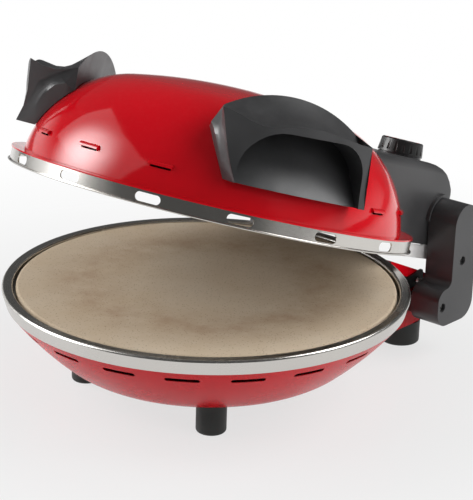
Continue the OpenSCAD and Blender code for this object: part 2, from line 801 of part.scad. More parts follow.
// One cross-section of the handle: up along the dome, over the rim and down the outer face
function handle_section(t) =
    let (
        u = mix(-rim_half_u, rim_half_u, t),
        rim_a = atan2(u, rim_wall),
        edge_a = mix(edge_front_a, edge_rear_a, t),
        foot_a = mix(foot_front_a, foot_rear_a, t),
        low = asin((handle_foot - dome_cz) / (dome_side_r + handle_seat)),
        high = acos((rim_wall / cos(rim_a) - dome_cx) / (dome_side_r + handle_seat)),
        rim = [u, rim_wall, rim_height(u)],
        edge = spoke(edge_a, lip_r, edge_height(t)),
        foot = spoke(foot_a, lip_r, handle_foot)
    )
    concat(
        [for (k = [0 : seat_steps]) let (f = k / seat_steps)
            dome_side_at(mix(foot_a, rim_a, f) - collar_lead * flare(t), mix(low, high, f))],
        [rim],
        [for (k = [1 : top_steps - 1]) let (f = k / top_steps)
            mix(rim, edge, f) - [0, 0, saddle_drop * mix(saddle_end, 1, sin(180 * t)) * sin(180 * f)]],
        [edge],
        [for (k = [1 : side_steps - 1]) let (f = k / side_steps)
            mix(edge, foot, f) - [0, side_hollow * (0.35 + 0.65 * flare(t)) * sin(180 * pow(f, 1.4)), 0]],
        [foot]
    );

// Triangles of an open loft through rings of the same number of points, closed at its last ring round point hub
function loft_faces(rings, per, hub) = concat(
    [for (i = [0 : rings - 2], j = [0 : per - 1])
        each [
            [i * per + j, i * per + (j + 1) % per, (i + 1) * per + j],
            [(i + 1) * per + j, i * per + (j + 1) % per, (i + 1) * per + (j + 1) % per]
        ]],
    [for (j = [1 : per - 2])
        let (last = (rings - 1) * per)
        [last + hub, last + (hub + j) % per, last + (hub + j + 1) % per]]
);

// Triangles of the front end: a collar along the dome up to the ridge points, then a hollow round its middle.
// Ridge points follow the loft's points from index ridge; the middle of the hollow comes last.
function end_faces(per, ridge) =
    let (
        bend = [for (k = [0 : seat_steps]) ridge + k],
        rest = concat(bend, [for (j = [seat_steps + 1 : per - 1]) j]),
        count = len(rest)
    )
    concat(
        [for (k = [0 : seat_steps - 1]) each [[k + 1, k, bend[k + 1]], [bend[k + 1], k, bend[k]]]],
        [[0, per - 1, bend[0]], [seat_steps + 1, seat_steps, bend[seat_steps]]],
        [for (j = [0 : count - 2]) [ridge + seat_steps + 1, rest[j + 1], rest[j]]],
        [[ridge + seat_steps + 1, rest[0], rest[count - 1]]]
    );

module handle_block() {
    sections = [for (i = [0 : loft_steps]) handle_section(i / loft_steps)];
    front = sections[0];
    per = len(front);
    corner = seat_steps + 1 + top_steps;
    edge = front[corner];
    // The ridge lies off the dome towards the outer corner, and a little in front of the end
    ridge = [for (k = [0 : seat_steps])
        front[k] + unit(edge - front[k]) * collar_w * (k == 0 || k == seat_steps ? 0.8 : 1)
            - [ridge_proud, 0, 0]];
    middle = (ridge[2] + ridge[3] + 2 * edge) / 4 + [end_hollow, 0, -end_hollow];
    polyhedron(
        points = concat([for (s = sections) each s], ridge, [middle]),
        faces = concat(loft_faces(loft_steps + 1, per, corner), end_faces(per, (loft_steps + 1) * per))
    );
}

// The finger recess: an arch cut straight in from outside, in front of a leaning back wall
module finger_scoop() {
    low = handle_foot - 4;
    arch = [[-arch_front, low], [arch_rear, low], [arch_rear - arch_rear_lean, arch_top + arch_rise],
        [-arch_front + 2, arch_top]];
    rise = arch_top + 10 - low;
    foot_r = lip_r - scoop_sill;
    difference() {
        translate([0, lip_r + 20, 0]) rotate([90, 0, 0])
            linear_extrude(lip_r + 20 - rim_wall) polygon(rounded(arch, [0, 0, 26, 34]));
        // The back wall follows the lid round and leans in as it rises
        translate([0, 0, low]) cylinder(r1 = foot_r, r2 = foot_r - rise * tan(scoop_lean), h = rise);
    }
}

module handle() {
    rotate([0, 0, handle_turn]) mirror([0, 1, 0]) difference() {
        handle_block();
        finger_scoop();
    }
}

module handle_right() {
    color("dimgray") on_lid() handle();
}

module handle_left() {
    color("dimgray") on_lid() mirror([1, 0, 0]) handle();
}

// Screws that hold each handle from inside the dome
module handle_screws() {
    color("silver") on_lid() both_sides()
        for (u = handle_screw_turns)
            rotate([0, 0, handle_turn + u]) translate([0, -dome_cx, dome_cz])
                rotate([90 - handle_screw_lean, 0, 0]) translate([0, 0, dome_side_r - sheet_t - fit_gap])
                    rotate([180, 0, 0]) screw(handle_screw_r, sheet_t, 2 * handle_screw_r, 1.6);
}

// ---- control housing ---------------------------------------------------------------------

// Side view of the control housing, thinned by d; its front end lies inside the dome's outline
function housing_side(d) = rounded(
    [[housing_front + d, housing_foot + d], [housing_back - d, housing_foot + d],
        [housing_back - d, housing_top - d], [housing_front + d, housing_top - d]],
    [0, heel_r - d, housing_back_r - d, 0]
);

// The housing's body, thinned by d, with softened edges along its top and down its back
module housing_body(d) {
    half = housing_x - d;
    soft = housing_edge_r - 2 * d;
    low = housing_foot + d;
    intersection() {
        slab_x(-half, 2 * half, housing_side(d));
        translate([0, housing_back, 0]) rotate([90, 0, 0]) linear_extrude(housing_back - housing_front)
            polygon(rounded([[-half, low], [half, low], [half, housing_top - d], [-half, housing_top - d]],
                [0, 0, soft, soft]));
        translate([0, 0, housing_foot]) linear_extrude(housing_top - housing_foot)
            polygon(rounded([[-half, housing_front], [half, housing_front], [half, housing_back - d],
                [-half, housing_back - d]], [0, 0, soft, soft]));
    }
}

module control_housing() {
    half = housing_x;
    color("dimgray") on_lid() difference() {
        union() {
            housing_body(0);
            for (x = [-knob_x, knob_x])
                translate([x, knob_y, housing_top - 12])
                    cylinder(r = collar_r, h = collar_top - housing_top + 12);
            // Raised lips that shield the heads of the hinge arms
            both_sides()
                translate([half, pivot_y, pin_lid_z]) rotate([90, 0, 90])
                    rotate([0, 0, lip_ring_from + lid_open])
                        rotate_extrude(angle = lip_ring_sweep)
                            translate([lip_ring_r, 0]) square([lip_ring_t, 3.5]);
        }
        difference() {
            housing_body(moulding_t);
            // Bosses that the two switch bodies hang from
            for (x = [-knob_x, knob_x])
                translate([x, knob_y, boss_foot_z]) cylinder(r = 8, h = housing_top - boss_foot_z);
        }
        dome_envelope(fit_gap);
        // Opening in the underside for the floor plate
        translate([-half + plate_edge, plate_y, housing_foot - cut])
            cube([2 * (half - plate_edge), plate_len, moulding_t + 2 * cut]);
        // Slits in the underside for the legs of the hinge straps
        both_sides()
            translate([strap_x - fit_gap, pivot_y - strap_leg_r - strap_round - fit_gap, housing_foot - cut])
                cube([strap_t + 2 * fit_gap, 2 * (strap_leg_r + fit_gap) + strap_round, 14]);
        // Bores for the pivot pins and the two dial shafts
        both_sides()
            translate([0, pivot_y, pin_lid_z])
                rod_x(half - moulding_t - cut, moulding_t + 2 * cut, pin_r + pin_play, $fn = 48);
        for (x = [-knob_x, knob_x])
            translate([x, knob_y, housing_top - moulding_t - 14])
                cylinder(r = shaft_r + pin_play, h = 14 + moulding_t + 4, $fn = 48);
        // Hole for the cord's gland
        translate([0, back_cy, gland_z]) rotate([-90, 0, 0])
            cylinder(r = gland_r, h = housing_back_r + cut, $fn = 48);
    }
}

floor_screws_at = [for (x = [-1, 1], y = [plate_y + 6, plate_y + plate_len - 6]) [x * (housing_x - 17), y]];

module housing_floor() {
    color("black") on_lid() difference() {
        translate([-housing_x + plate_edge + fit_gap, plate_y + fit_gap, housing_foot])
            cube([2 * (housing_x - plate_edge - fit_gap), plate_len - 2 * fit_gap, moulding_t]);
        for (at = floor_screws_at)
            translate([at.x, at.y, housing_foot - cut])
                cylinder(r = 1.5 + fit_gap, h = moulding_t + 2 * cut, $fn = 24);
    }
}

// Screws of the housing's floor plate
module housing_screws() {
    color("silver") on_lid()
        for (at = floor_screws_at)
            translate([at.x, at.y, housing_foot]) rotate([180, 0, 0]) screw(1.5, moulding_t, 3, 1.4);
}

// Side view of a lid strap: a long foot along the band and a leg that rises to the pivot
function strap_side() = [[strap_front, -strap_drop], [pivot_y + strap_leg_r, -strap_drop],
    [pivot_y + strap_leg_r, pin_lid_z + strap_leg_r], [pivot_y - strap_leg_r, pin_lid_z + strap_leg_r],
    [pivot_y - strap_leg_r, strap_rise], [strap_front, strap_rise]];
strap_screws_z = [12, 20];

module lid_hinge_straps() {
    color("silver") on_lid() both_sides() difference() {
        slab_x(strap_x, strap_t, rounded(strap_side(), [5, 8, 9, 9, strap_round, 0]));
        translate([0, pivot_y, pin_lid_z]) rod_x(strap_x - cut, strap_t + 2 * cut, pin_r + pin_play, $fn = 48);
        for (z = strap_screws_z)
            translate([0, pivot_y, z]) rod_x(strap_x - cut, strap_t + 2 * cut, 1.5 + fit_gap, $fn = 24);
        dome_envelope(fit_gap);
    }
}

// Screws that hold the straps to the housing's side walls
module strap_screws() {
    color("whitesmoke") on_lid() both_sides()
        for (z = strap_screws_z)
            translate([strap_x, pivot_y, z]) rotate([0, -90, 0]) screw(1.5, strap_t - 0.1, 3, 1.6);
}

// Spring clips that keep the pivot pins from sliding out
module pin_clips() {
    color("gray") on_base() both_sides()
        translate([0, pivot_y, pivot_z]) difference() {
            rod_x(strap_x - 3, 1, pin_r + 2.5, $fn = 48);
            rod_x(strap_x - 3 - cut, 1 + 2 * cut, pin_r, $fn = 48);
        }
}

// Body of a dial's switch under the housing's top, with a bush for its shaft
module dial_box() {
    translate([0, knob_y, 0]) difference() {
        union() {
            translate([-dial_box / 2, -dial_box / 2, dial_box_z]) cube([dial_box, dial_box, dial_box_h]);
            translate([0, 0, dial_box_z]) cylinder(r = 6, h = boss_foot_z - dial_box_z);
        }
        translate([0, 0, shaft_foot_z]) cylinder(r = shaft_r + pin_play, h = 2 * dial_box_h, $fn = 48);
    }
}

module thermostat() {
    color("beige") on_lid() translate([knob_x, 0, 0]) dial_box();
}

module timer() {
    color("beige") on_lid() translate([-knob_x, 0, 0]) dial_box();
}

module terminal_block() {
    color("ivory") on_lid() difference() {
        translate([-block_w / 2, back_cy + 4, housing_foot + moulding_t + fit_gap])
            cube([block_w, block_d, block_h]);
        for (x = [-block_w / 3, 0, block_w / 3])
            translate([x, back_cy + 4 + block_d / 2, housing_foot + moulding_t + block_h / 2])
                cylinder(r = 2.5, h = block_h, $fn = 24);
    }
}

// Bush in the housing's back wall, where the mains lead would enter
module cord_gland() {
    wall = back_cy + housing_back_r;
    color("black") on_lid() translate([0, wall, gland_z]) rotate([-90, 0, 0]) difference() {
        union() {
            translate([0, 0, -moulding_t]) cylinder(r = gland_r, h = moulding_t, $fn = 48);
            cylinder(r1 = 9.5, r2 = 8, h = 2.5, $fn = 48);
        }
        translate([0, 0, -moulding_t - cut]) cylinder(r = gland_bore_r, h = 8, $fn = 48);
    }
}

// ---- knobs -------------------------------------------------------------------------------

// A fluted knob with a raised pointer and a blind socket for its shaft
module knob() {
    top_r = knob_r - 2;
    difference() {
        union() {
            cylinder(r1 = knob_r, r2 = top_r + 0.4, h = knob_h - 1);
            translate([0, 0, knob_h - 1]) cylinder(r1 = top_r + 0.4, r2 = top_r - 0.8, h = 1);
        }
        for (i = [0 : flute_count - 1])
            rotate([0, 0, (i + 0.5) * 360 / flute_count]) translate([knob_r + 0.6, 0, 2])
                cylinder(r = 2, h = knob_h, $fn = 24);
        translate([0, 0, -cut]) cylinder(r = shaft_r, h = knob_h - 4 + cut, $fn = 48);
    }
}

module shaft() {
    translate([0, 0, shaft_foot_z]) cylinder(r = shaft_r, h = knob_z + knob_h - 4 - shaft_foot_z, $fn = 48);
}

module thermostat_knob() {
    color("black") on_lid() translate([knob_x, knob_y, knob_z]) knob();
}

module timer_knob() {
    color("black") on_lid() translate([-knob_x, knob_y, knob_z]) knob();
}

module thermostat_shaft() {
    color("silver") on_lid() translate([knob_x, knob_y, 0]) shaft();
}

module timer_shaft() {
    color("silver") on_lid() translate([-knob_x, knob_y, 0]) shaft();
}

base_bowl();
base_rim_ring();
baking_stone();
lower_reflector();
lower_heater();
lower_heater_clips();
hinge_block();
hinge_block_cover();
base_hinge_ears();
ear_screws();
hinge_arm_left();
hinge_arm_right();
arm_screws();
pivot_pins();
front_feet();
rear_feet();
foot_screws();
lid_dome();
lid_band();
upper_reflector();
upper_heater();
upper_heater_clips();
handle_left();
handle_right();
handle_screws();
control_housing();
housing_floor();
housing_screws();
lid_hinge_straps();
strap_screws();
thermostat();
timer();
terminal_block();
cord_gland();
pin_clips();
thermostat_knob();
thermostat_shaft();
timer_knob();
timer_shaft();
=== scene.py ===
import json
import math

import bmesh
import bpy
from mathutils import Matrix, Vector
from mathutils.bvhtree import BVHTree


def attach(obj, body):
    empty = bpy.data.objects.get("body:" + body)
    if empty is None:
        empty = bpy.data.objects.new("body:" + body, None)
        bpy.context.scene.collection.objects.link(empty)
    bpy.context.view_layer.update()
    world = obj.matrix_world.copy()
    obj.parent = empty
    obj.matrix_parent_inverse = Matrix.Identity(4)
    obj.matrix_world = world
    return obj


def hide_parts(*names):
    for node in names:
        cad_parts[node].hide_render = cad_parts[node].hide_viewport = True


bl_info = {
    "name": "Electric pizza maker",
    "version": (1, 0, 0),
    "blender": (4, 5, 0),
    "location": "View3D > Sidebar > Pizza maker",
    "description": "Finishes, dial markings and studio for the domed countertop pizza oven",
    "category": "Object",
}

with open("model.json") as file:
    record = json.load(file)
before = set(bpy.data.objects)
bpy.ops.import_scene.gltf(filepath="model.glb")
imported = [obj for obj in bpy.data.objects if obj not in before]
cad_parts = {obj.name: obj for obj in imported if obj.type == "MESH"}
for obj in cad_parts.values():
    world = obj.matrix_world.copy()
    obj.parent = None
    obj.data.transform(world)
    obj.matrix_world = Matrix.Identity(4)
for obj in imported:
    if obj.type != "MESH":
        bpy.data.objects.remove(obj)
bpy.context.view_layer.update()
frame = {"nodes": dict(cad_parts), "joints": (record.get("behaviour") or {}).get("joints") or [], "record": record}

BODY_OF = {node: body for body, nodes in frame["record"]["behaviour"]["bodies"].items() for node in nodes}

HANDLES = ("handle_left", "handle_right")
ARMS = ("hinge_arm_left", "hinge_arm_right")
DIALS = {"thermostat_knob": "thermostat_turn", "timer_knob": "timer_turn"}
SWITCHES = ("thermostat", "timer", "terminal_block")
SCREWS = ("ear_screws", "arm_screws", "foot_screws", "handle_screws", "housing_screws", "strap_screws")
PINS = ("pivot_pins", "pin_clips", "thermostat_shaft", "timer_shaft")
RUBBERS = ("front_feet", "rear_feet", "cord_gland")

# How far the lid stands open at rest, and a point, in metres, on the axis of the base's ring and of the open lid.
LID_TILT = math.radians(17.8)
RING_AXIS = (0, -0.0285, 0.0934)
LID_AXIS = (0, -0.02556, 0.16839)

# Tones that the finishes turn to in places.
PAINT_DUST = (0.55, 0.50, 0.46)
PLASTIC_DUST = (0.42, 0.40, 0.38)
STRAW_TINT = (0.56, 0.47, 0.33)
PALE_SAND = (0.62, 0.52, 0.40)
DARK_GRIT = (0.22, 0.14, 0.09)
TOASTED_STONE = (0.30, 0.17, 0.09)
BROWN_OXIDE = (0.085, 0.075, 0.066)
DARK_OXIDE = (0.032, 0.027, 0.026)
WORN_INK = (0.20, 0.02, 0.02)
# How much darker a stain is than its metal, how much lighter a flow mark is than its plastic, and how much the
# polishing lines roughen the steel.
STAIN_SHADE = 0.55
FLOW_TINT = 1.9
LINE_ROUGHNESS = 0.10

# The ring that the heater toasts into the stone: its radius, and how far to each side it fades, in metres.
TOAST_RADIUS = 0.105
TOAST_SPAN = (0.004, 0.045)
# How far from the middle of its cell a speck of grit starts to fade and ends, in cells, and how strongly it shows.
GRIT_SPAN = (0.10, 0.26)
GRIT_STRENGTH = 0.75

# Finished copies: corners nearer than this are merged, faces flatter than this are joined, and an eased edge has
# this many faces.
MERGE_REACH = 0.00001
FLAT_ANGLE = math.radians(0.3)
EASE_STEPS = 3

# A handle's end skins: how near the dome its collar sits and how far its ends are from its middle, in metres, how
# squarely a face looks along the handle to count as its end, and how finely and how often the skin is evened.
SEAT_REACH = 0.0012
END_REACH = 0.040
END_FACING = 0.5
SKIN_CUTS = 3
SKIN_ROUNDS = 30

# The marks printed on a dial's top: how many there are, and their sizes in metres.
MARK_COUNT = 12
MARK_RADIUS = 0.0172
MARK_LENGTH = 0.0028
MARK_WIDTH = 0.0008
MARK_HEIGHT = 0.0002
MARK_CORNER = MARK_WIDTH * 0.4
POINTER_LENGTH = 0.0095
POINTER_WIDTH = 0.0014

# The camera, fitted to the photograph, in metres and with its sensor in millimetres, and the point that the lamps
# look at.
CAMERA_PLACE = (0.925036, -1.055857, 0.607668)
CAMERA_RIGHT = (0.747837, 0.663215, 0.029753)
CAMERA_UP = (-0.240814, 0.229231, 0.943113)
SENSOR_HEIGHT = 36.0
CLIP_START = 0.05
LAMP_AIM = (0, 0, 0.12)

# Lamps: name, place, width and height, the light that sets the power and the share of it, and whether glossy
# surfaces mirror the lamp.
LAMPS = (("Key soft box", (-1.09, -0.92, 1.30), (2.2, 1.1), "key_power", 0.16, True),
         ("Key bounce", (-1.50, -0.80, 0.85), (2.2, 1.3), "key_power", 0.94, False),
         ("Side bounce", (1.50, 0.25, 0.65), (1.1, 0.9), "key_power", 0.27, False),
         ("Side soft box", (0.95, 0.80, 1.30), (1.1, 0.9), "fill_power", 1.0, True))

# The surround's lit walls: the direction of each and the heights between which it fades upward, then the cosines
# to that direction at which a wall starts and is full, and its strength.
WALLS = (((0.82, 0.57, 0), (0.00, 0.18)), ((-0.93, -0.37, 0), (0.10, 0.30)))
WALL_EDGE = (0.55, 0.85)
WALL_LEVEL = 0.90
# The key's hot core: its direction, the cosines at which it starts and is full, its falloff and its strength.
CORE_AIM = (-0.72, -0.50, 0.48)
CORE_EDGE = (0.86, 1.0)
CORE_FALLOFF = 2.9
CORE_LEVEL = 15.0
# The dim room that reflections see between them, and the even fill light that falls on things.
ROOM_LEVEL = 0.09
FILL_LEVEL = 0.26

# The table, each over a span of distances from its middle, in metres: the backdrop's share in it, the backdrop's
# whiteness, and how much of that is left where the oven mirrors it.
BACKDROP_SHARE = ((0.18, 0.50), (0.80, 1.0))
BACKDROP_WHITE = ((0.25, 0.70), (0.88, 1.0))
MIRRORED_WHITE = ((1.2, 2.2), (1.0, 0.12))

# Spacing of the nodes in the shader editor.
NODE_STEP = 190


# ---------------------------------------------------------------- sizes and colours

class BodyFinish(bpy.types.PropertyGroup):
    paint: bpy.props.FloatVectorProperty(
        name="Paint", description="Red stoving enamel of the dome and the bowl",
        subtype="COLOR", size=3, min=0, max=1, default=(0.590, 0.002, 0.009))
    paint_shade: bpy.props.FloatVectorProperty(
        name="Paint shade", description="Deeper tone that drifts through the enamel",
        subtype="COLOR", size=3, min=0, max=1, default=(0.490, 0.001, 0.006))
    steel: bpy.props.FloatVectorProperty(
        name="Steel", description="Polished stainless trim",
        subtype="COLOR", size=3, min=0, max=1, default=(0.640, 0.625, 0.600))
    pan: bpy.props.FloatVectorProperty(
        name="Pan", description="Aluminised reflector pans",
        subtype="COLOR", size=3, min=0, max=1, default=(0.520, 0.520, 0.510))
    stone: bpy.props.FloatVectorProperty(
        name="Stone", description="Fired baking stone",
        subtype="COLOR", size=3, min=0, max=1, default=(0.560, 0.440, 0.310))


class MouldingFinish(bpy.types.PropertyGroup):
    black: bpy.props.FloatVectorProperty(
        name="Black", description="Heat-proof moulded plastic of handles, housing and arms",
        subtype="COLOR", size=3, min=0, max=1, default=(0.030, 0.030, 0.031))
    dial: bpy.props.FloatVectorProperty(
        name="Dial", description="Plastic of the dials",
        subtype="COLOR", size=3, min=0, max=1, default=(0.006, 0.006, 0.006))
    rubber: bpy.props.FloatVectorProperty(
        name="Rubber", description="Feet and the bush of the mains lead",
        subtype="COLOR", size=3, min=0, max=1, default=(0.006, 0.007, 0.006))
    marking: bpy.props.FloatVectorProperty(
        name="Marking", description="Printed dial scale and pointer",
        subtype="COLOR", size=3, min=0, max=1, default=(0.560, 0.020, 0.018))


class StudioSet(bpy.types.PropertyGroup):
    floor: bpy.props.FloatVectorProperty(
        name="Floor", description="Pale glossy table",
        subtype="COLOR", size=3, min=0, max=1, default=(0.800, 0.800, 0.800))
    floor_size: bpy.props.FloatProperty(
        name="Floor size", description="Width of the square floor",
        default=14.0, min=2.0, unit="LENGTH", subtype="DISTANCE")
    key_power: bpy.props.FloatProperty(
        name="Key light", description="Power that the key lamps and the side bounce are set from, in watts",
        default=37.0, min=0.0)
    fill_power: bpy.props.FloatProperty(
        name="Fill light", description="Power of the soft box at the right, in watts",
        default=16.0, min=0.0)
    focal_length: bpy.props.FloatProperty(
        name="Focal length", description="Focal length over a 36 mm high sensor",
        default=122.163, min=10.0, subtype="DISTANCE_CAMERA")


# ---------------------------------------------------------------- shader building

def add_node(tree, kind):
    """A new node, to the right of those before it."""
    node = tree.nodes.new(kind)
    node.location = (NODE_STEP * len(tree.nodes), 0)
    return node


def wire(tree, kind, **values):
    """Adds a node with these values. Each is named after a setting of the node or an input, and in0 is the first
    input. A socket given as a value is linked."""
    node = add_node(tree, kind)
    for name, value in values.items():
        if hasattr(node, name) and name not in node.inputs:
            setattr(node, name, value)
            continue
        socket = node.inputs[int(name[2:])] if name.startswith("in") else node.inputs[name.replace("_", " ")]
        if isinstance(value, bpy.types.NodeSocket):
            tree.links.new(value, socket)
        elif hasattr(socket.default_value, "__len__") and len(socket.default_value) == 4 and len(value) == 3:
            socket.default_value = (*value, 1)
        else:
            socket.default_value = value
    return node


def figure(tree, operation, *values):
    """The result of a Math node over these values."""
    given = {f"in{slot}": value for slot, value in enumerate(values)}
    return wire(tree, "ShaderNodeMath", operation=operation, **given).outputs[0]


def ranged(tree, value, span, result=(0.0, 1.0)):
    """The value, taken from the span to the result's span and clamped."""
    spread = wire(tree, "ShaderNodeMapRange", in0=value, in1=span[0], in2=span[1], in3=result[0], in4=result[1])
    return spread.outputs["Result"]


def off_axis(tree, here):
    """The coordinate's three parts, and its distance from its upright axis."""
    parts = wire(tree, "ShaderNodeSeparateXYZ", in0=here).outputs
    flat = wire(tree, "ShaderNodeCombineXYZ", in0=parts[0], in1=parts[1])
    return parts, wire(tree, "ShaderNodeVectorMath", operation="LENGTH", in0=flat.outputs[0]).outputs["Value"]


def start_group(name, inputs, outputs):
    """An empty shared group with these inputs, each (name, kind, default), and these outputs."""
    group = bpy.data.node_groups.new(name, "ShaderNodeTree")
    for label, kind, default in inputs:
        socket = group.interface.new_socket(label, in_out="INPUT", socket_type="NodeSocket" + kind)
        if default is not None:
            socket.default_value = default
    for label, kind in outputs:
        group.interface.new_socket(label, in_out="OUTPUT", socket_type="NodeSocket" + kind)
    return group, add_node(group, "NodeGroupInput").outputs, add_node(group, "NodeGroupOutput").inputs


def make_drift():
    """Slow cloudy variation between two values, for gloss and tone."""
    group, given, out = start_group("Cloudy drift",
                                    [("Vector", "Vector", None), ("Scale", "Float", 20.0),
                                     ("Low", "Float", 0.0), ("High", "Float", 1.0)],
                                    [("Value", "Float")])
    cloud = wire(group, "ShaderNodeTexNoise", Vector=given["Vector"], Scale=given["Scale"], Detail=4.0,
                 Roughness=0.55)
    value = ranged(group, cloud.outputs["Fac"], span=(0.3, 0.7), result=(given["Low"], given["High"]))
    group.links.new(value, out["Value"])
    return group


def make_grain():
    """Small even relief, such as moulded texture, cast stone or orange peel in paint."""
    group, given, out = start_group("Fine grain",
                                    [("Vector", "Vector", None), ("Scale", "Float", 800.0),
                                     ("Strength", "Float", 0.1), ("Depth", "Float", 0.0002)],
                                    [("Normal", "Vector")])
    cells = wire(group, "ShaderNodeTexNoise", Vector=given["Vector"], Scale=given["Scale"], Detail=3.0,
                 Roughness=0.6)
    relief = wire(group, "ShaderNodeBump", Strength=given["Strength"], Distance=given["Depth"],
                  Height=cells.outputs["Fac"])
    group.links.new(relief.outputs["Normal"], out["Normal"])
    return group


def make_hairlines():
    """Polishing lines that run round the upright axis of the vector it is given."""
    group, given, out = start_group("Turned hairlines",
                                    [("Vector", "Vector", None), ("Fineness", "Float", 900.0),
                                     ("Strength", "Float", 0.1)],
                                    [("Value", "Float"), ("Normal", "Vector")])
    parts, radius = off_axis(group, given["Vector"])
    turn = figure(group, "ARCTAN2", parts[1], parts[0])
    # Fine across the lines, slow along them.
    place = wire(group, "ShaderNodeCombineXYZ", in0=figure(group, "MULTIPLY", radius, given["Fineness"]),
                 in1=figure(group, "MULTIPLY", turn, 2.0),
                 in2=figure(group, "MULTIPLY", parts[2], given["Fineness"]))
    lines = wire(group, "ShaderNodeTexNoise", Vector=place.outputs[0], Scale=1.0, Detail=3.0, Roughness=0.65)
    relief = wire(group, "ShaderNodeBump", Strength=given["Strength"], Distance=0.0002,
                  Height=lines.outputs["Fac"])
    group.links.new(lines.outputs["Fac"], out["Value"])
    group.links.new(relief.outputs["Normal"], out["Normal"])
    return group


def make_dust():
    """Mask of the thin dust that settles where a surface faces up."""
    group, given, out = start_group("Settled dust",
                                    [("Vector", "Vector", None), ("Amount", "Float", 0.1)],
                                    [("Mask", "Float")])
    facing = wire(group, "ShaderNodeTexCoord")
    up = wire(group, "ShaderNodeSeparateXYZ", in0=facing.outputs["Normal"])
    level = ranged(group, up.outputs[2], span=(0.55, 0.98))
    motes = wire(group, "ShaderNodeTexNoise", Vector=given["Vector"], Scale=260.0, Detail=6.0, Roughness=0.75)
    speck = ranged(group, motes.outputs["Fac"], span=(0.48, 0.74))
    group.links.new(figure(group, "MULTIPLY", figure(group, "MULTIPLY", level, speck), given["Amount"]),
                    out["Mask"])
    return group


def make_toning():
    """Blends two tones by a mask."""
    group, given, out = start_group("Two tones",
                                    [("Tone", "Color", (0.5, 0.5, 0.5, 1)), ("Other", "Color", (0.2, 0.2, 0.2, 1)),
                                     ("Mask", "Float", 0.5)],
                                    [("Color", "Color")])
    blend = add_node(group, "ShaderNodeMix")
    blend.data_type = "RGBA"
    group.links.new(given["Mask"], blend.inputs[0])
    group.links.new(given["Tone"], blend.inputs[6])
    group.links.new(given["Other"], blend.inputs[7])
    group.links.new(blend.outputs[2], out["Color"])
    return group


GROUP_MAKERS = {"Cloudy drift": make_drift, "Fine grain": make_grain, "Turned hairlines": make_hairlines,
                "Settled dust": make_dust, "Two tones": make_toning}


def place_group(tree, name, **values):
    """One use of a shared group, with its own values. The group is built the first time it is asked for."""
    node = add_node(tree, "ShaderNodeGroup")
    node.node_tree = bpy.data.node_groups.get(name) or GROUP_MAKERS[name]()
    for label, value in values.items():
        if isinstance(value, bpy.types.NodeSocket):
            tree.links.new(value, node.inputs[label])
        else:
            node.inputs[label].default_value = (*value, 1) if hasattr(value, "__len__") else value
    return node.outputs


def cloudy(tree, here, scale, span):
    """A cloudy value that stays in the span."""
    return place_group(tree, "Cloudy drift", Vector=here, Scale=scale, Low=span[0], High=span[1])["Value"]


def grained(tree, here, scale, strength, depth=0.0002):
    """A fine relief."""
    return place_group(tree, "Fine grain", Vector=here, Scale=scale, Strength=strength, Depth=depth)["Normal"]


def toned(tree, tone, other, mask):
    """The tone, turned to the other one by the mask."""
    return place_group(tree, "Two tones", Tone=tone, Other=other, Mask=mask)["Color"]


def dusted(tree, here, tone, dust, amount):
    """The tone under a trace of settled dust."""
    return toned(tree, tone, dust, place_group(tree, "Settled dust", Vector=here, Amount=amount)["Mask"])


def start_finish(name, centre=(0, 0, 0), turn=(0, 0, 0), **plain):
    """A new material: its tree, its Principled shader with these constants, and its Object coordinate, moved so
    that centre is its origin and turned."""
    finish = bpy.data.materials.new(name)
    finish.use_nodes = True
    tree = finish.node_tree
    shader = tree.nodes["Principled BSDF"]
    for label, value in plain.items():
        shader.inputs[label.replace("_", " ")].default_value = value
    where = wire(tree, "ShaderNodeTexCoord").outputs["Object"]
    mapping = wire(tree, "ShaderNodeMapping", Vector=where, vector_type="TEXTURE", Location=centre, Rotation=turn)
    return finish, tree, shader, mapping.outputs[0]


def link_surface(tree, shader, colour, gloss, relief=None):
    """Links the colour, the roughness and, where there is one, the relief to the shader."""
    tree.links.new(colour, shader.inputs["Base Color"])
    tree.links.new(gloss, shader.inputs["Roughness"])
    if relief is not None:
        tree.links.new(relief, shader.inputs["Normal"])


# ---------------------------------------------------------------- finishes

def enamel(name, shift, ior, gloss, peel):
    """Stoved red enamel: a colour that drifts a little, orange peel, uneven gloss and a trace of dust."""
    sizes = bpy.context.scene.pizza_body
    finish, tree, shader, here = start_finish(name, shift, IOR=ior)
    tone = toned(tree, sizes.paint, sizes.paint_shade, cloudy(tree, here, scale=9.0, span=(0.0, 0.8)))
    link_surface(tree, shader, dusted(tree, here, tone, PAINT_DUST, amount=0.015),
                 cloudy(tree, here, scale=34.0, span=gloss),
                 grained(tree, here, scale=420.0, strength=peel, depth=0.0003))
    return finish


def turned_steel(name, gloss, lining, heat, turn=(0, 0, 0)):
    """Spun stainless sheet with polishing lines round the oven's axis and a faint straw heat tint."""
    sizes = bpy.context.scene.pizza_body
    finish, tree, shader, here = start_finish(name, RING_AXIS, turn, Metallic=1.0)
    lines = place_group(tree, "Turned hairlines", Vector=here, Fineness=2600.0, Strength=lining)
    straw = toned(tree, sizes.steel, STRAW_TINT, cloudy(tree, here, scale=7.0, span=(0.0, heat)))
    smears = cloudy(tree, here, scale=26.0, span=gloss)
    link_surface(tree, shader, straw, figure(tree, "MULTIPLY_ADD", lines["Value"], LINE_ROUGHNESS, smears),
                 lines["Normal"])
    return finish


def sheet_metal(name, colour, gloss, metal=1.0):
    """Plain rolled or zinc-coated metal with a soft grain."""
    finish, tree, shader, here = start_finish(name, Metallic=metal)
    darker = [STAIN_SHADE * part for part in colour]
    link_surface(tree, shader, toned(tree, colour, darker, cloudy(tree, here, scale=40.0, span=(0.0, 0.5))),
                 cloudy(tree, here, scale=90.0, span=gloss), grained(tree, here, scale=700.0, strength=0.15))
    return finish


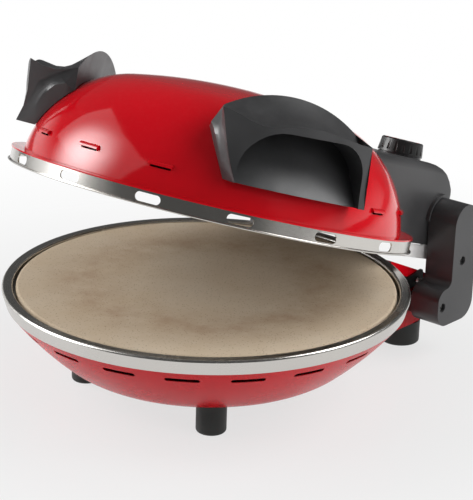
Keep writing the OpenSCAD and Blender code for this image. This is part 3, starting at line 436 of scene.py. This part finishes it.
def moulded(name, colour, gloss, grain, strength, dust=0.05):
    """Spark-textured moulding: a fine grain, uneven gloss and a trace of dust on what faces up."""
    finish, tree, shader, here = start_finish(name, IOR=1.5)
    lighter = [min(1.0, FLOW_TINT * part) for part in colour]
    tone = toned(tree, colour, lighter, cloudy(tree, here, scale=15.0, span=(0.0, 0.7)))
    link_surface(tree, shader, dusted(tree, here, tone, PLASTIC_DUST, dust),
                 cloudy(tree, here, scale=60.0, span=gloss), grained(tree, here, grain, strength))
    return finish


def fired_stone():
    """Cordierite: a sandy body, dark grit, and a toasted ring where the heater runs below."""
    sizes = bpy.context.scene.pizza_body
    finish, tree, shader, here = start_finish("Fired stone", RING_AXIS, IOR=1.45)
    body = toned(tree, sizes.stone, PALE_SAND, cloudy(tree, here, scale=18.0, span=(0.0, 0.7)))
    cells = wire(tree, "ShaderNodeTexVoronoi", Vector=here, Scale=420.0, Randomness=1.0)
    gritty = toned(tree, body, DARK_GRIT,
                   ranged(tree, cells.outputs["Distance"], GRIT_SPAN, result=(GRIT_STRENGTH, 0.0)))
    radius = off_axis(tree, here)[1]
    near = figure(tree, "ABSOLUTE", figure(tree, "SUBTRACT", radius, TOAST_RADIUS))
    toast = figure(tree, "MULTIPLY", ranged(tree, near, TOAST_SPAN, result=(1.0, 0.0)),
                   cloudy(tree, here, scale=30.0, span=(0.05, 0.55)))
    link_surface(tree, shader, toned(tree, gritty, TOASTED_STONE, toast),
                 cloudy(tree, here, scale=120.0, span=(0.75, 0.95)),
                 grained(tree, here, scale=900.0, strength=0.5, depth=0.0006))
    return finish


def scorched_sheath():
    """Heater tube: oxidised nickel alloy, brown-grey with darker patches."""
    finish, tree, shader, here = start_finish("Scorched heater sheath", Metallic=0.7)
    oxide = toned(tree, BROWN_OXIDE, DARK_OXIDE, cloudy(tree, here, scale=55.0, span=(0.0, 1.0)))
    link_surface(tree, shader, oxide, cloudy(tree, here, scale=160.0, span=(0.42, 0.68)),
                 grained(tree, here, scale=1500.0, strength=0.35))
    return finish


def printed_marking():
    """Screen-printed ink of the dial scale, worn thin in places."""
    sizes = bpy.context.scene.pizza_mouldings
    finish, tree, shader, here = start_finish("Printed marking", IOR=1.45)
    worn = toned(tree, sizes.marking, WORN_INK, cloudy(tree, here, scale=500.0, span=(0.0, 0.35)))
    link_surface(tree, shader, worn, cloudy(tree, here, scale=300.0, span=(0.35, 0.55)))
    return finish


# ---------------------------------------------------------------- putting finishes on

def find_node(name):
    """The CAD node of that name."""
    piece = frame["nodes"].get(name)
    if piece is None:
        raise RuntimeError(f"the frame has no piece called {name}")
    return piece


def dress(names, finish):
    """Gives CAD nodes this finish through their own material slots."""
    for piece in map(find_node, names):
        if not piece.material_slots:
            piece.data.materials.append(finish)
        for held in piece.material_slots:
            held.material = finish


def new_piece(name, mesh, finish, body):
    """Makes an object of a finished bmesh, in place, and lets it ride on a CAD body."""
    data = bpy.data.meshes.new(name)
    mesh.to_mesh(data)
    mesh.free()
    flat_normals = data.attributes.get("custom_normal")
    if flat_normals:
        data.attributes.remove(flat_normals)
    data.materials.append(finish)
    piece = bpy.data.objects.new(name, data)
    bpy.context.scene.collection.objects.link(piece)
    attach(piece, body)
    return piece


def relax_ends(mesh):
    """Draws a handle's two hollow ends out into even skins, and leaves the collars that sit on the dome."""
    shell = find_node("lid_dome").data
    dome = BVHTree.FromPolygons([corner.co for corner in shell.vertices],
                                [face.vertices for face in shell.polygons])
    upright = Vector((0, math.sin(LID_TILT), math.cos(LID_TILT)))
    middle = sum((corner.co for corner in mesh.verts), Vector()) / len(mesh.verts)
    skins = set()
    for face in mesh.faces:
        along = upright.cross(face.calc_center_median() - Vector(LID_AXIS)).normalized()
        reach = (face.calc_center_median() - middle).dot(along)
        facing = face.normal.dot(along) * math.copysign(1, reach)
        seated = any(dome.find_nearest(corner.co)[3] < SEAT_REACH for corner in face.verts)
        if abs(reach) > END_REACH and facing > END_FACING and not seated:
            skins.add(face)
    held = {line for face in skins for line in face.edges if all(side in skins for side in line.link_faces)}
    loose = {corner for face in skins for corner in face.verts if all(side in skins for side in corner.link_faces)}
    cut = bmesh.ops.subdivide_edges(mesh, edges=list(held), cuts=SKIN_CUTS, use_grid_fill=True)
    loose |= {made for made in cut["geom_inner"] if isinstance(made, bmesh.types.BMVert)}
    loose = [corner for corner in loose if corner.is_valid]
    for _ in range(SKIN_ROUNDS):
        bmesh.ops.smooth_vert(mesh, verts=loose, factor=0.5, use_axis_x=True, use_axis_y=True, use_axis_z=True)


def finish_node(node, finish, crease=35.0, edge=0.0, shape=None):
    """Stands a finished copy in for a CAD node: corners merged, flats joined and curves smooth. Edges over the
    crease angle, in degrees, stay hard, and are eased where an edge width is given."""
    mesh = bmesh.new()
    mesh.from_mesh(find_node(node).data)
    bmesh.ops.remove_doubles(mesh, verts=mesh.verts, dist=MERGE_REACH)
    if shape:
        shape(mesh)
    bmesh.ops.dissolve_limit(mesh, angle_limit=FLAT_ANGLE, verts=mesh.verts, edges=mesh.edges)
    for face in mesh.faces:
        face.smooth = True
    for line in mesh.edges:
        line.smooth = line.is_manifold and line.calc_face_angle() < math.radians(crease)
    piece = new_piece("finished_" + node, mesh, finish, BODY_OF[node])
    if edge:
        easing = piece.modifiers.new("Eased edges", "BEVEL")
        easing.width = edge
        easing.segments = EASE_STEPS
        easing.limit_method = "ANGLE"
        easing.angle_limit = math.radians(crease)
    even = piece.modifiers.new("Even shading", "WEIGHTED_NORMAL")
    even.keep_sharp = True
    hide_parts(node)


def dial_marks(node, joint_name, finish):
    """Prints a pointer and a ring of short marks on a dial's flat top."""
    joint = next(held for held in frame["joints"] if held["name"] == joint_name)
    axis = -Vector(joint["axis"]).normalized()
    foot = Vector(joint["pos_m"])
    top = max((corner.co - foot).dot(axis) for corner in find_node(node).data.vertices)
    upright = Matrix.Translation(foot + axis * top) @ axis.to_track_quat("Z", "Y").to_matrix().to_4x4()
    mesh = bmesh.new()
    for step in range(MARK_COUNT):
        length, width = (MARK_LENGTH, MARK_WIDTH) if step else (POINTER_LENGTH, POINTER_WIDTH)
        bar = bmesh.ops.create_cube(mesh, size=1.0)["verts"]
        bmesh.ops.scale(mesh, vec=(width, length, MARK_HEIGHT), verts=bar)
        bmesh.ops.translate(mesh, vec=(0, MARK_RADIUS - length / 2, 0), verts=bar)
        bmesh.ops.rotate(mesh, cent=(0, 0, 0), matrix=Matrix.Rotation(math.tau * step / MARK_COUNT, 3, "Z"),
                         verts=bar)
    corners = [line for line in mesh.edges if abs(line.verts[0].co.z - line.verts[1].co.z) > MARK_HEIGHT / 2]
    bmesh.ops.bevel(mesh, geom=corners, offset=MARK_CORNER, affect="EDGES", segments=EASE_STEPS, profile=0.5,
                    material=-1)
    bmesh.ops.transform(mesh, matrix=upright, verts=mesh.verts)
    new_piece(node + "_marks", mesh, finish, BODY_OF[node])


class PaintShells(bpy.types.Operator):
    """Gives the bowl, the hinge block and the dome their red enamel"""
    bl_idname = "pizza.paint_shells"
    bl_label = "Painted shells"

    def execute(self, context):
        satin = enamel("Satin red enamel", shift=(0.3, 0.1, 0.2), ior=1.22, gloss=(0.22, 0.30), peel=0.08)
        glossy = enamel("Gloss red enamel", shift=(0, 0, 0), ior=1.5, gloss=(0.07, 0.11), peel=0.04)
        finish_node("base_bowl", satin, crease=25.0)
        finish_node("hinge_block", satin, edge=0.0025)
        finish_node("hinge_block_cover", satin)
        finish_node("lid_dome", glossy, crease=25.0)
        return {"FINISHED"}


class SteelTrims(bpy.types.Operator):
    """Finishes the bowl's rim ring, the lid's slotted band and the hinge tabs and straps in steel; the tabs carry
    painted shade and the straps a painted reflection
    """
    bl_idname = "pizza.steel_trims"
    bl_label = "Steel trims"

    def execute(self, context):
        finish_node("base_rim_ring",
                    turned_steel("Brushed rim steel", gloss=(0.14, 0.24), lining=0.12, heat=0.10))
        finish_node("lid_band",
                    turned_steel("Polished band steel", gloss=(0.10, 0.18), lining=0.08, heat=0.15,
                                 turn=(-LID_TILT, 0, 0)))
        # The tabs' steel gets a dark colour: painted shade, standing in for the shade that the tabs lie in.
        finish_node("base_hinge_ears",
                    sheet_metal("Dark tab steel", colour=(0.16, 0.15, 0.15), gloss=(0.30, 0.42)), edge=0.0003)
        # The straps get a near-white colour and little metal: a painted reflection of the white backdrop that the
        # real steel mirrors.
        finish_node("lid_hinge_straps",
                    sheet_metal("Bright strap plating", colour=(0.96, 0.95, 0.94), gloss=(0.30, 0.42), metal=0.1),
                    edge=0.0003)
        return {"FINISHED"}


class CookingParts(bpy.types.Operator):
    """Finishes the stone, the heaters, their clips and the reflector pans"""
    bl_idname = "pizza.cooking_parts"
    bl_label = "Stone and heaters"

    def execute(self, context):
        finish_node("baking_stone", fired_stone(), edge=0.001)
        sheath = scorched_sheath()
        clips = sheet_metal("Spring steel clips", colour=(0.42, 0.41, 0.39), gloss=(0.28, 0.45))
        pan = sheet_metal("Aluminised pan", colour=context.scene.pizza_body.pan, gloss=(0.26, 0.40))
        for level in ("lower", "upper"):
            finish_node(level + "_heater", sheath)
            finish_node(level + "_heater_clips", clips)
            finish_node(level + "_reflector", pan, crease=25.0)
        return {"FINISHED"}


class BlackMouldings(bpy.types.Operator):
    """Finishes the handles, the control housing, the hinge arms and the switches inside in black plastic"""
    bl_idname = "pizza.black_mouldings"
    bl_label = "Black mouldings"

    def execute(self, context):
        black = moulded("Satin black moulding", colour=context.scene.pizza_mouldings.black, gloss=(0.30, 0.40),
                        grain=1400.0, strength=0.20)
        for node in HANDLES:
            finish_node(node, black, crease=46.0, edge=0.0018, shape=relax_ends)
        for node in ARMS:
            finish_node(node, black, edge=0.0014)
        finish_node("control_housing", black, edge=0.0010)
        finish_node("housing_floor", black)
        dress(SWITCHES, moulded("Switch plastic", colour=(0.045, 0.042, 0.040), gloss=(0.45, 0.60), grain=900.0,
                                strength=0.15))
        return {"FINISHED"}


class ControlDials(bpy.types.Operator):
    """Finishes both dials and prints their pointers and marks"""
    bl_idname = "pizza.control_dials"
    bl_label = "Control dials"

    def execute(self, context):
        plastic = moulded("Dial plastic", colour=context.scene.pizza_mouldings.dial, gloss=(0.30, 0.40),
                          grain=1800.0, strength=0.12)
        ink = printed_marking()
        for node, joint_name in DIALS.items():
            finish_node(node, plastic, crease=30.0, edge=0.0004)
            dial_marks(node, joint_name, ink)
        return {"FINISHED"}


class SmallMetal(bpy.types.Operator):
    """Finishes the screws, the pins, their clips and the dial shafts"""
    bl_idname = "pizza.small_metal"
    bl_label = "Screws and pins"

    def execute(self, context):
        dress(SCREWS, sheet_metal("Zinc screw", colour=(0.50, 0.50, 0.49), gloss=(0.24, 0.36)))
        dress(PINS, sheet_metal("Ground pin steel", colour=(0.46, 0.45, 0.44), gloss=(0.18, 0.30)))
        return {"FINISHED"}


class RubberFeet(bpy.types.Operator):
    """Finishes the four feet and the bush of the mains lead in rubber"""
    bl_idname = "pizza.rubber_feet"
    bl_label = "Feet and bush"

    def execute(self, context):
        rubber = moulded("Foot rubber", colour=context.scene.pizza_mouldings.rubber, gloss=(0.45, 0.62),
                         grain=700.0, strength=0.35, dust=0.1)
        for node in RUBBERS:
            finish_node(node, rubber)
        return {"FINISHED"}


# ---------------------------------------------------------------- studio

def fit_camera(focal_length):
    """The camera at the place and angle from which the photograph was taken."""
    lens = bpy.data.cameras.new("Photo camera")
    lens.sensor_fit = "VERTICAL"
    lens.sensor_height = SENSOR_HEIGHT
    lens.lens = focal_length
    lens.clip_start = CLIP_START
    camera = bpy.data.objects.new("Photo camera", lens)
    right = Vector(CAMERA_RIGHT).normalized()
    back = right.cross(Vector(CAMERA_UP)).normalized()
    up = back.cross(right)
    turned = Matrix((right, up, back)).transposed().to_4x4()
    camera.matrix_world = Matrix.Translation(CAMERA_PLACE) @ turned
    bpy.context.scene.collection.objects.link(camera)
    bpy.context.scene.camera = camera


def soft_box(name, place, size, power, mirrored):
    """A rectangular area lamp that looks at the oven, and shows in glossy surfaces if it is mirrored."""
    lamp = bpy.data.lights.new(name, "AREA")
    lamp.shape = "RECTANGLE"
    lamp.size, lamp.size_y = size
    lamp.energy = power
    box = bpy.data.objects.new(name, lamp)
    box.location = place
    box.visible_glossy = mirrored
    box.rotation_euler = (Vector(LAMP_AIM) - Vector(place)).to_track_quat("-Z", "Y").to_euler()
    bpy.context.scene.collection.objects.link(box)


def pale_floor():
    """A pale polished table that fades to the white backdrop away from the oven and keeps its shadow."""
    sizes = bpy.context.scene.pizza_studio
    finish, tree, shader, here = start_finish("Pale table", Base_Color=(*sizes.floor, 1), IOR=1.45)
    tree.links.new(cloudy(tree, here, scale=3.0, span=(0.12, 0.18)), shader.inputs["Roughness"])
    reach = wire(tree, "ShaderNodeVectorMath", operation="LENGTH", in0=here).outputs["Value"]
    share = ranged(tree, reach, *BACKDROP_SHARE)
    white = ranged(tree, reach, *BACKDROP_WHITE)
    kept = ranged(tree, reach, *MIRRORED_WHITE)
    path = wire(tree, "ShaderNodeLightPath").outputs
    seen = figure(tree, "MAXIMUM", figure(tree, "MAXIMUM", path["Is Camera Ray"], path["Is Glossy Ray"]),
                  path["Is Transmission Ray"])
    dimmed = wire(tree, "ShaderNodeMix", in0=path["Is Glossy Ray"], in2=1.0, in3=kept)
    glow = wire(tree, "ShaderNodeEmission", Color=(1, 1, 1),
                Strength=figure(tree, "MULTIPLY", white, dimmed.outputs[0]))
    mix = wire(tree, "ShaderNodeMixShader", in0=figure(tree, "MULTIPLY", share, seen), in1=shader.outputs[0],
               in2=glow.outputs[0])
    tree.links.new(mix.outputs[0], tree.nodes["Material Output"].inputs["Surface"])
    return finish


def lay_table(size):
    """The square table under the oven."""
    mesh = bmesh.new()
    bmesh.ops.create_grid(mesh, x_segments=1, y_segments=1, size=size / 2)
    data = bpy.data.meshes.new("Table")
    mesh.to_mesh(data)
    mesh.free()
    data.materials.append(pale_floor())
    table = bpy.data.objects.new("Table", data)
    bpy.context.scene.collection.objects.link(table)


def toward(tree, direction, aim):
    """How squarely a direction points to the aim."""
    return wire(tree, "ShaderNodeVectorMath", operation="DOT_PRODUCT", in0=direction, in1=aim).outputs["Value"]


def white_world():
    """White for the camera, a dim room with a low lit wall at each side and a hot core for reflections, and an
    even fill light for the rest."""
    world = bpy.data.worlds.new("Studio surround")
    bpy.context.scene.world = world
    world.use_nodes = True
    tree = world.node_tree
    tree.nodes.clear()
    sky = wire(tree, "ShaderNodeTexCoord").outputs["Generated"]
    height = wire(tree, "ShaderNodeSeparateXYZ", in0=sky).outputs[2]
    lit = ROOM_LEVEL
    for aim, fade in WALLS:
        low = ranged(tree, height, fade, result=(1.0, 0.0))
        wall = ranged(tree, toward(tree, sky, aim), WALL_EDGE, result=(0.0, WALL_LEVEL))
        lit = figure(tree, "MULTIPLY_ADD", low, wall, lit)
    core = ranged(tree, toward(tree, sky, CORE_AIM), CORE_EDGE)
    lit = figure(tree, "MULTIPLY_ADD", figure(tree, "POWER", core, CORE_FALLOFF), CORE_LEVEL, lit)
    path = wire(tree, "ShaderNodeLightPath").outputs
    seen = figure(tree, "MAXIMUM", path["Is Camera Ray"], path["Is Transmission Ray"])
    level = wire(tree, "ShaderNodeMix", in0=path["Is Glossy Ray"], in2=FILL_LEVEL, in3=lit)
    strength = wire(tree, "ShaderNodeMix", in0=seen, in2=level.outputs[0], in3=1.0)
    back = wire(tree, "ShaderNodeBackground", Color=(1, 1, 1), Strength=strength.outputs[0])
    tree.links.new(back.outputs[0], add_node(tree, "ShaderNodeOutputWorld").inputs[0])


class Studio(bpy.types.Operator):
    """Sets the camera, the lamps, the surround and the pale table"""
    bl_idname = "pizza.studio"
    bl_label = "Studio"

    def execute(self, context):
        sizes = context.scene.pizza_studio
        fit_camera(sizes.focal_length)
        for name, place, size, light, share, mirrored in LAMPS:
            soft_box(name, place, size, getattr(sizes, light) * share, mirrored)
        white_world()
        lay_table(sizes.floor_size)
        context.scene.view_settings.view_transform = "Standard"
        return {"FINISHED"}


# ---------------------------------------------------------------- panel and run

OPERATORS = (PaintShells, SteelTrims, CookingParts, BlackMouldings, ControlDials, SmallMetal, RubberFeet, Studio)


class PizzaMakerPanel(bpy.types.Panel):
    """Lists the steps and the finishes"""
    bl_idname = "VIEW3D_PT_pizza_maker"
    bl_label = "Electric pizza maker"
    bl_space_type = "VIEW_3D"
    bl_region_type = "UI"
    bl_category = "Pizza maker"

    def draw(self, context):
        for step in OPERATORS:
            self.layout.operator(step.bl_idname)
        for group, names in ((context.scene.pizza_body, ("paint", "paint_shade", "steel", "pan", "stone")),
                             (context.scene.pizza_mouldings, ("black", "dial", "rubber", "marking")),
                             (context.scene.pizza_studio, ("floor", "floor_size", "key_power", "fill_power",
                                                           "focal_length"))):
            for name in names:
                self.layout.prop(group, name)


CLASSES = (BodyFinish, MouldingFinish, StudioSet, *OPERATORS, PizzaMakerPanel)


def register():
    for cls in CLASSES:
        bpy.utils.register_class(cls)
    bpy.types.Scene.pizza_body = bpy.props.PointerProperty(type=BodyFinish)
    bpy.types.Scene.pizza_mouldings = bpy.props.PointerProperty(type=MouldingFinish)
    bpy.types.Scene.pizza_studio = bpy.props.PointerProperty(type=StudioSet)


def unregister():
    del bpy.types.Scene.pizza_studio
    del bpy.types.Scene.pizza_mouldings
    del bpy.types.Scene.pizza_body
    for cls in reversed(CLASSES):
        bpy.utils.unregister_class(cls)


def main():
    register()
    for step in OPERATORS:
        group, action = step.bl_idname.split(".")
        getattr(getattr(bpy.ops, group), action)()


if __name__ == "__main__":
    main()
